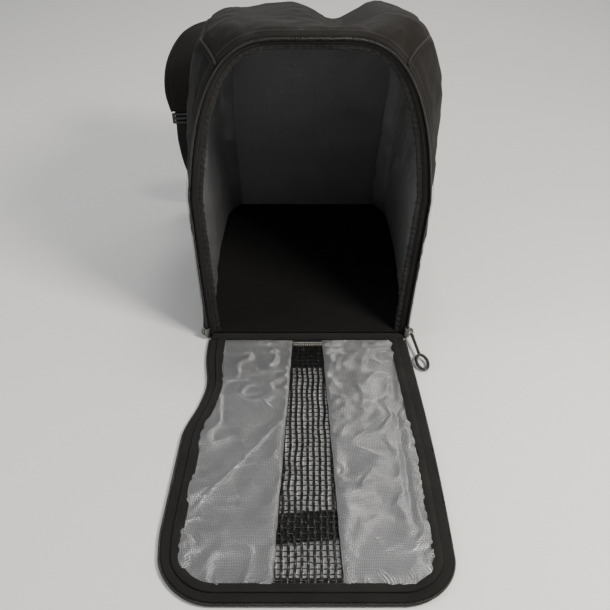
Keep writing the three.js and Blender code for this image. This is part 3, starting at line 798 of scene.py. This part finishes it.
def silver_panel(side, label):
    """One silver sheet: the simulated cloth, calmed and refined, with the folds pressed into it."""
    seed = 60 + side
    grid = flap_side_grid(side, LINING_INSET, FLAP_START + 1, FLAP_LENGTH - LINING_INSET, 100, 26, 0.5)
    puffed = simulate(grid, SILVER_LOW, SPARE, seed)
    calm = puffed[..., 2].copy()
    for _ in range(6):
        around = np.pad(calm, 1, mode="edge")
        calm = (around[:-2, 1:-1] + around[2:, 1:-1] + around[1:-1, :-2] + around[1:-1, 2:] + 2 * calm) / 6
    puffed[..., 2] = 0.5 * puffed[..., 2] + 0.5 * calm
    fine = refine(puffed, 3)
    hold = pinned(fine, 8, 8)
    s = HINGE_Y - fine[..., 1]
    x = side * fine[..., 0]
    swell = 4.2 * rough(fine, 50, seed + 4) + 1.3 * rough(fine * np.array([1.0, 1.6, 1.0]), 24, seed + 5)
    ridge = np.maximum(1 - np.abs(rough(fine, 30, seed + 6)) * 4.5, 0)
    crush = 0.28 * rough(fine, 12, seed + 1) + 0.12 * rough(fine, 5, seed + 2)
    folds = -2.2 * bell(s - 17 - 0.05 * x, 3.0) + 1.8 * bell(s - 24 - 0.08 * x, 4.5)
    folds -= 1.6 * bell(s - 35 + 0.06 * x, 4.5)
    if side < 0:
        crease = bell((s - 215) - 1.5 * (x - 70), 4.0) * smooth(s, 140, 180) * (1 - smooth(s, 270, 300))
        corner = smooth(s, 275, 350) * smooth(x, 55, 100)
        folds += 1.9 * crease + corner * (2.2 * rough(fine, 15, 77) + 1.3 * rough(fine, 7, 78))
    else:
        folds += -2.4 * bell(x - 99 - 0.02 * s, 3.4) * smooth(s, 50, 110) * (1 - smooth(s, 250, 330))
        folds += -2.6 * bell((s - 350) + 0.4 * (x - 70), 3.6) * smooth(x, 40, 75)
    fine[..., 0] += 0.9 * rough(fine * np.array([0.3, 1.0, 0.0]), 17, seed + 8)
    fine[..., 2] += (swell + 1.5 * ridge + crush + folds) * hold
    fine[..., 2] = np.maximum(fine[..., 2], SILVER_LOW - 0.3)
    piece = cloth(f"flap_silver_{label}", fine, 0.5, SILVER, FLAP, [f"flap_lining_{label}"], side=side)
    cut_sheet(piece, grid)


def make_flap():
    face = 2.7
    for side, label in SIDES:
        grid = flap_side_grid(side, 2.4, FLAP_START, FLAP_LENGTH - 3.0, 120, 40)
        grid[..., 2] = face
        nodes = ["flap_outer_panel"] if side > 0 else []
        cloth(f"flap_cloth_{label}", grid, CLOTH_THICK, BLACK, FLAP, nodes, side=side)
    bridge_s = np.linspace(WINDOW_FAR - 6, FLAP_LENGTH - 3.0, 14)[:, None]
    bridge = lay(np.linspace(-1, 1, 30) * (window_half(bridge_s) - 0.3), bridge_s, face)
    cloth("flap_window_end", bridge, CLOTH_THICK, BLACK, FLAP)

    tape = flap_band([2.6, 5.0, 8.0, 11.0, 13.5], [3.5, 3.9, 4.0, 4.1, 4.0])
    cloth("zip_tape_flap_cloth", tape, 1.0, TAPE, FLAP, ["zip_tape_flap"])
    insets = np.linspace(12.4, 12.4 + FACING_WIDE, 9)
    arch = np.sin(np.linspace(0.12, 0.95, 9) * math.pi)
    facing = flap_band(insets, 4.4 + 1.9 * arch)
    facing[..., 2] += (0.45 * rough(facing, 8, 51) + 0.5 * rough(facing, 22, 52)) * arch
    cloth("flap_binding_cloth", facing, 1.2, FACING, FLAP, ["flap_binding"])
    for inset, height in ((12.9, 5.4), (21.6, 5.9)):
        stitches(f"flap_stitching_{int(inset)}", flap_line(inset, height), (0, 0, 0.3), FLAP)
    edge = resample(flap_line(1.8, 2.6), COIL_PITCH)
    inward = unit(matched(resample(flap_line(4.8, 2.6), 1.0), len(edge)) - edge)
    up = np.tile(np.array([0.0, 0.0, 1.0]), (len(edge), 1))
    coil_teeth("zip_coil_flap_teeth", edge, inward, up, FLAP, ["zip_coil_flap"])
    for side, label in SIDES:
        silver_panel(side, label)


def make_mesh_window():
    """Open coated netting: flat strands away from the hinge, thinner ones across, fused where they meet."""
    pitch_x, pitch_s = 6.4, 6.8
    middle, weave = 3.1, 0.75
    up = (0, 0, 1)
    parts = []
    lanes = int((WINDOW_HALF_FAR + 5) / pitch_x)
    for lane in np.arange(-lanes, lanes + 1) * pitch_x:
        start = WINDOW_NEAR - 2
        if abs(lane) > WINDOW_HALF_NEAR + 3:
            share = (abs(lane) - 3 - WINDOW_HALF_NEAR) / (WINDOW_HALF_FAR - WINDOW_HALF_NEAR)
            start = WINDOW_NEAR + share * (WINDOW_FAR - WINDOW_NEAR)
        if start > WINDOW_FAR - 20:
            continue
        s = np.arange(start, WINDOW_FAR + 3, 1.7)
        wander = 1.5 * rough(stacked(lane, s, 0), 24, 71)
        wave = weave * np.cos(math.pi * (s / pitch_s + lane / pitch_x))
        knot = np.cos(math.pi * s / pitch_s) ** 4
        parts.append((lay(lane + wander, s, middle + wave * 0.5), 2.8 + 0.8 * knot, 0.9, 8, up))
    for k in range(int((WINDOW_FAR - WINDOW_NEAR) / pitch_s) + 1):
        s = WINDOW_NEAR + k * pitch_s
        half = window_half(s) + 3.5
        x = np.arange(-half, half + 0.1, 1.6)
        wander = 1.6 * rough(stacked(x, s, 0), 17, 72)
        wave = weave * np.cos(math.pi * (x / pitch_x + k))
        knot = np.cos(math.pi * x / pitch_x) ** 6
        parts.append((lay(x, s + wander, middle - 0.35 * wave), 1.5 + 0.9 * knot, 1.05 + 0.3 * knot, 7, up))
    bundle("mesh_window_netting", parts, MESH, FLAP, ["flap_mesh_window"])

    under, thick = 1.9, 1.4
    near_s = np.linspace(FLAP_START, 55, 30)[:, None]
    patch = lay(np.linspace(-1, 1, 26) * (window_half(near_s) + 0.8), near_s, under)
    patch[..., 2] += 0.3 * rough(patch, 14, 73)
    cloth("mesh_backing_cloth", patch, thick, BASE_BLACK, FLAP, ["mesh_backing_patch"])
    band_s = np.linspace(281, 317, 16)[:, None]
    across = np.linspace(-1, 1, 30)
    band = lay(across * (window_half(band_s) + 0.8), band_s - 3.0 * across, under)
    cloth("mesh_cross_cloth", band, thick, BLACK, FLAP, ["mesh_cross_band"])

    overlock = []
    for x in np.linspace(-17, 17, 15):
        overlock.append(lay([x - 1, x, x + 1], [9.4, 12.0, 9.4], [4.6, 5.3, 4.6]))
        overlock.append(lay([x - 0.4, x + 0.4], [13.0, 16.0], [5.2, 4.6]))
    tubes("mesh_overlock_thread", overlock, 0.8, 0.8, 6, WHITE_THREAD, FLAP)


def make_hinge():
    """The fabric between base and flap."""
    y = np.linspace(FRONT + 9, HINGE_Y - 4.4, 26)
    half = np.interp(y, [HINGE_Y - 5, FRONT + 9], [flap_half(4) - 3, BASE_HALF - 5])
    z = np.interp(y, [HINGE_Y - 5, HINGE_Y - 1, FRONT - 1, FRONT + 9], [4.6, 5.4, 4.9, 4.0])
    grid = stacked(half[:, None] * np.linspace(-1, 1, 80), y[:, None], z[:, None])
    grid[..., 2] += 0.35 * rough(grid, 11, 81)
    piece = cloth("hinge_cloth", grid, 1.0, TAPE, None, ["hinge_strip"], side=-1)
    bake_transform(piece)


# ---- sliders and pullers ----
def rounded_box(name, low, high, bevel, body, nodes, turn):
    """A metal box with bevelled edges; turn is a function that moves its points."""
    low, high = np.array(low, float), np.array(high, float)
    data = bmesh.new()
    bmesh.ops.create_cube(data, size=1.0)
    for vertex in data.verts:
        vertex.co = Vector(((np.array(vertex.co) + 0.5) * (high - low) + low).tolist())
    bmesh.ops.bevel(data, geom=data.edges[:], offset=bevel, segments=3, profile=0.6, affect="EDGES")
    data.verts.index_update()
    points = np.array([v.co for v in data.verts])
    faces = [[v.index for v in face.verts] for face in data.faces]
    data.free()
    points = turn(points)
    return build(name, points, faces, METAL, body, nodes, points[:, :2])


def joined(name, objects):
    """Several pieces of one material made into the first of them."""
    bpy.ops.object.select_all(action="DESELECT")
    for obj in objects:
        obj.select_set(True)
    bpy.context.view_layer.objects.active = objects[0]
    bpy.ops.object.join()
    objects[0].name = name
    return objects[0]


SLIDER_U = 11 / SPRING_Z
TILT = math.atan2(SPRING_HALF - BASE_HALF, SPRING_Z)


def slider_frame(side):
    """Turns slider coordinates (outwards, towards the back, along the coil) into the frame."""
    spot = outline(SLIDER_U, 0.0, 1.0)
    spot[0] *= side
    out = np.array([side * math.cos(TILT), 0.0, -math.sin(TILT)])
    along = np.array([side * math.sin(TILT), 0.0, math.cos(TILT)])
    back = np.array([0.0, 1.0, 0.0])
    return lambda p: spot + p[..., 0:1] * out + p[..., 1:2] * back + p[..., 2:3] * along


def make_slider(side, label):
    """Two cheeks and a front plate round the coil, and the bridge that the puller's link hangs on."""
    place = slider_frame(side)
    body = f"slider_{label}"
    outer = rounded_box(f"{body}_cap", (1.9, -4.4, -7), (3.3, 1.6, 7), 0.55, body, (), place)
    inner = rounded_box(f"{body}_sole", (-3.3, -4.4, -7), (-1.9, 1.6, 7), 0.55, body, (), place)
    front = rounded_box(f"{body}_front", (-3.3, -4.6, -6), (3.3, -2.3, 6), 0.6, body, [body], place)
    arch = stacked([3.0, 6.0, 7.4, 7.4, 6.0, 3.0], -1.4, [-5.6, -4.4, -1.5, 1.5, 4.4, 5.6])
    bridge = tubes(f"{body}_bridge", [place(resample(arch, 0.8))], 2.6, 1.2, 10, METAL, body, up=(0, 1, 0))
    joined(f"{body}_shell", [front, outer, inner, bridge])


def ring_mesh(centre, wide, high, sides):
    """Points and faces of a closed loop with an oval section, lying in XY."""
    ahead = unit(np.roll(centre, -1, 0) - np.roll(centre, 1, 0))
    side = stacked(ahead[:, 1], -ahead[:, 0], 0)
    ring, _ = oval_rings(centre, side, stacked(0 * side[:, 0], 0, 1), wide, high, sides)
    faces = sheet_faces(len(centre) + 1, sides, closed=True)
    return ring.reshape(-1, 3), [[v % (len(centre) * sides) for v in quad] for quad in faces]


def make_puller(side, label):
    """A wire link, a cord-like stem and an oval moulded loop, flat on the floor or beside the wall."""
    body = f"puller_{label}"
    pin = slider_frame(side)(np.array([4.9, -1.4, 0.0]))
    yaw, roll, slope = (math.radians(turn) for turn in ((-80, 0, 7.5) if side > 0 else (95, 90, 0)))

    def spin(a, b, angle):
        return a * math.cos(angle) - b * math.sin(angle), a * math.sin(angle) + b * math.cos(angle)

    def hang(x, y, z):
        """From the link's own axes, x away from the slider, to the frame."""
        x, y = spin(x, y, yaw)
        return pin + stacked(x, y, z)

    def place(points):
        y, z = spin(points[:, 1], points[:, 2], roll)
        z, x = spin(z, points[:, 0], slope)
        return hang(x + 6, y, z)

    long, wide, thick, middle = 29, 18, 4.3, 34 + 14.5
    angle = np.linspace(0, 2 * math.pi, 48, endpoint=False)
    centre = stacked(middle + (long - thick) / 2 * np.cos(angle), (wide - thick) / 2 * np.sin(angle), 0)
    points, faces = ring_mesh(centre, thick, 3.6, 12)
    loop = build(f"{body}_loop", place(points), faces, RUBBER, body, [body], points[:, :2])
    stem_path = resample(stacked([0, 6, 14, 24, 36.5], 0, [0, 0.2, 0.3, 0.1, 0]), 1.0)
    wide = 4.6 + 0.5 * np.cos(stem_path[:, 0] * 2.4) - 0.6 * smooth(stem_path[:, 0], 0, 10)
    more, quads, uv = tube_parts(stem_path, wide, 3.4, 12)
    stem = build(f"{body}_stem", place(more), quads, RUBBER, body, (), uv)
    joined(f"{body}_moulding", [loop, stem])
    wire = stacked([-6, -6, 0.6, 0.6], [-4, 4, 4, -4], 0)
    wire = np.concatenate([np.linspace(a, b, 8)[:-1] for a, b in zip(wire, np.roll(wire, -1, 0))])
    points, faces = ring_mesh(wire, 1.2, 1.2, 8)
    link = hang(points[:, 0] + 6, points[:, 2], points[:, 1])
    build(f"{body}_link", link, faces, METAL, body, (), points[:, :2])


# ---- carrying gear ----
# For each strap: its side, its twist in degrees, and the pad's and the webbing's middle lines behind the back.
STRAPS = {
    "left": (-1, 45,
             [(55, 12, 238), (72, 20, 258), (104, 27, 272), (138, 29, 273), (166, 27, 258), (184, 24, 226),
              (190, 19, 188), (190, 16, 156)],
             [(189, 15, 136), (188, 14, 105), (176, 11, 55), (151, 8, 27), (122, 5, 16)]),
    "right": (1, 0,
              [(55, 12, 238), (57, 24, 258), (61, 42, 265), (66, 54, 248), (70, 54, 216), (73, 46, 180),
               (75, 38, 150)],
              [(76, 33, 131), (77, 25, 98), (77, 14, 55), (75, 8, 30), (73, 5, 16)]),
}
PAD_WIDTH, PAD_THICK, WEB_WIDTH = 58.0, 9.0, 25.0


def curve_through(points, count):
    """A centripetal Catmull-Rom curve through the points, at even steps."""
    p = np.array(points, float)
    p = np.concatenate([[2 * p[0] - p[1]], p, [2 * p[-1] - p[-2]]])
    out = []
    for k in range(1, len(p) - 2):
        knots = [0.0]
        for a in range(3):
            knots.append(knots[-1] + np.linalg.norm(p[k + a] - p[k + a - 1]) ** 0.5)
        t = np.linspace(knots[1], knots[2], 40, endpoint=k == len(p) - 3)[:, None]
        step = lambda a, b, ta, tb: ((tb - t) * a + (t - ta) * b) / (tb - ta)
        a1, a2, a3 = (step(p[k - 1 + i], p[k + i], knots[i], knots[i + 1]) for i in range(3))
        b1, b2 = step(a1, a2, knots[0], knots[2]), step(a2, a3, knots[1], knots[3])
        out.append(step(b1, b2, knots[1], knots[2]))
    path = np.concatenate(out)
    length = run_length(path)
    return interpolate(np.linspace(0, length[-1], count), length, path)


def strap_path(points, side, count):
    return curve_through([(side * x, BACK_FACE + y, z) for x, y, z in points], count)


def ribbon_frame(path, side, turn):
    """Across and normal directions of a band whose width turns from X towards Y by turn radians."""
    tangent = unit(np.gradient(path, axis=0))
    across = stacked(-side * np.cos(turn), -np.sin(turn), 0)
    across = unit(across - (across * tangent).sum(1, keepdims=True) * tangent)
    return across, np.cross(tangent, across)


def make_strap(label):
    side, twist, pad_points, web_points = STRAPS[label]
    body = f"strap_{label}"
    count = 120
    f = np.linspace(0, 1, count)
    path = strap_path(pad_points, side, count)
    turn = math.radians(twist) * np.sin(math.pi * np.minimum(1, np.maximum(0, f - 0.12) * 1.3))
    across, normal = ribbon_frame(path, side, turn)
    narrow = 0.45 * np.maximum(0, (f - 0.6) / 0.4) ** 2 + 0.45 * np.maximum(0, (0.14 - f) / 0.14) ** 1.5
    width = PAD_WIDTH * (1 - narrow)
    ends = np.sqrt(np.clip(np.minimum(f, 1 - f) / 0.03, 0.06, 1))
    columns = np.linspace(-1, 1, 25)
    crown = np.sqrt(np.maximum(1 - np.abs(columns) ** 3.2, 0))
    groove = 1 - 0.55 * bell(np.abs(columns) - 0.78, 0.06)
    for face, sign, material in (("front", 1, PADDED), ("back", -1, BLACK)):
        lift = (0.6 + (PAD_THICK / 2 - 0.6) * crown * groove) * ends[:, None]
        grid = path[:, None] + (columns * width[:, None] / 2 * 0.985)[..., None] * across[:, None]
        lift = lift + 0.5 * rough(grid, 20, 91 + sign) * crown * ends[:, None]
        grid = grid + sign * lift[..., None] * normal[:, None]
        nodes = [f"shoulder_strap_{label}"] if sign > 0 else []
        cloth(f"strap_pad_{face}_{label}", grid, 0.5, material, body, nodes, side=sign)
    for edge, name in ((-1, "outer"), (1, "inner")):
        rim = path + edge * (width / 2)[:, None] * across
        piping(f"strap_binding_{name}_{label}", rim, 4.4, 3.4, body, up=normal[0])
    web = strap_path(web_points, side, 70)
    web_full = np.concatenate([np.linspace(path[-6], web[0], 16)[:-1], web])
    flat, _ = ribbon_frame(web_full, side, np.zeros(len(web_full)))
    band = web_full[:, None] + (np.linspace(-1, 1, 9) * WEB_WIDTH / 2)[:, None] * flat[:, None]
    cloth(f"strap_webbing_{label}_band", band, 1.6, WEBBING, body, [f"strap_webbing_{label}"])
    buckle = dress(f"strap_buckle_{label}", PLASTIC)
    bevel = buckle.modifiers.new("round", "BEVEL")
    bevel.width = 0.0006
    bevel.segments = 3
    bevel.limit_method = "ANGLE"
    tab, _, _ = upright_face(f"lower_anchor_{label}", 14, 14)
    tab[..., 1] += 0.8 * pinned(tab, 3, 3) - 0.4
    cloth(f"lower_anchor_{label}_tab", tab, 2.0, WEBBING, BODY, [f"lower_anchor_{label}"])


def upright_face(node, count_x, count_z):
    """A grid over the rear face of a CAD node, with the corners of its box, in mm."""
    low, high = (np.array(corner) * 1000 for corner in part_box(node))
    x = np.linspace(low[0], high[0], count_x)
    z = np.linspace(low[2], high[2], count_z)
    return stacked(x, high[1], z[:, None]), low, high


def make_handle():
    patch, low, high = upright_face("upper_anchor_patch", 60, 20)
    patch[..., 1] += 1.0
    patch[..., 1] += 0.5 * rough(patch, 15, 95) * pinned(patch, 2, 2)
    cloth("upper_anchor_cloth", patch, CLOTH_THICK, BLACK, BODY, ["upper_anchor_patch"])
    west, east, foot, head = low[0] + 3, high[0] - 3, low[2] + 3, high[2] - 3
    box_path = stacked([west, east, east, west, west], high[1] + 1.6, [foot, foot, head, head, foot])
    stitches("anchor_stitching", box_path, (0, 0.3, 0), BODY, BOLD_STITCH, GREY_THREAD)
    y = BACK_FACE + 14
    spots = [(-21, y, 252), (-20, y, 275), (-12, y, 292), (0, y, 298), (12, y, 292), (20, y, 275), (21, y, 252)]
    path = curve_through(spots, 70)
    band = path[:, None] + (np.linspace(-1, 1, 9) * 12)[:, None] * np.array([0.0, 1.0, 0.0])
    cloth("haul_handle_band", band, 2.4, WEBBING, "handle", ["haul_handle"])
    grip = curve_through(spots[1:-1], 50)
    tubes("haul_handle_grip", [grip[8:-8]], 24.5, 7.0, 16, PADDED, "handle")


set_stage()
make_shell()
make_linings()
make_back()
make_base()
make_rim()
make_seams()
make_flap()
make_mesh_window()
make_hinge()
for SIDE, LABEL in SIDES:
    make_slider(SIDE, LABEL)
    make_puller(SIDE, LABEL)
    make_strap(LABEL)
make_handle()
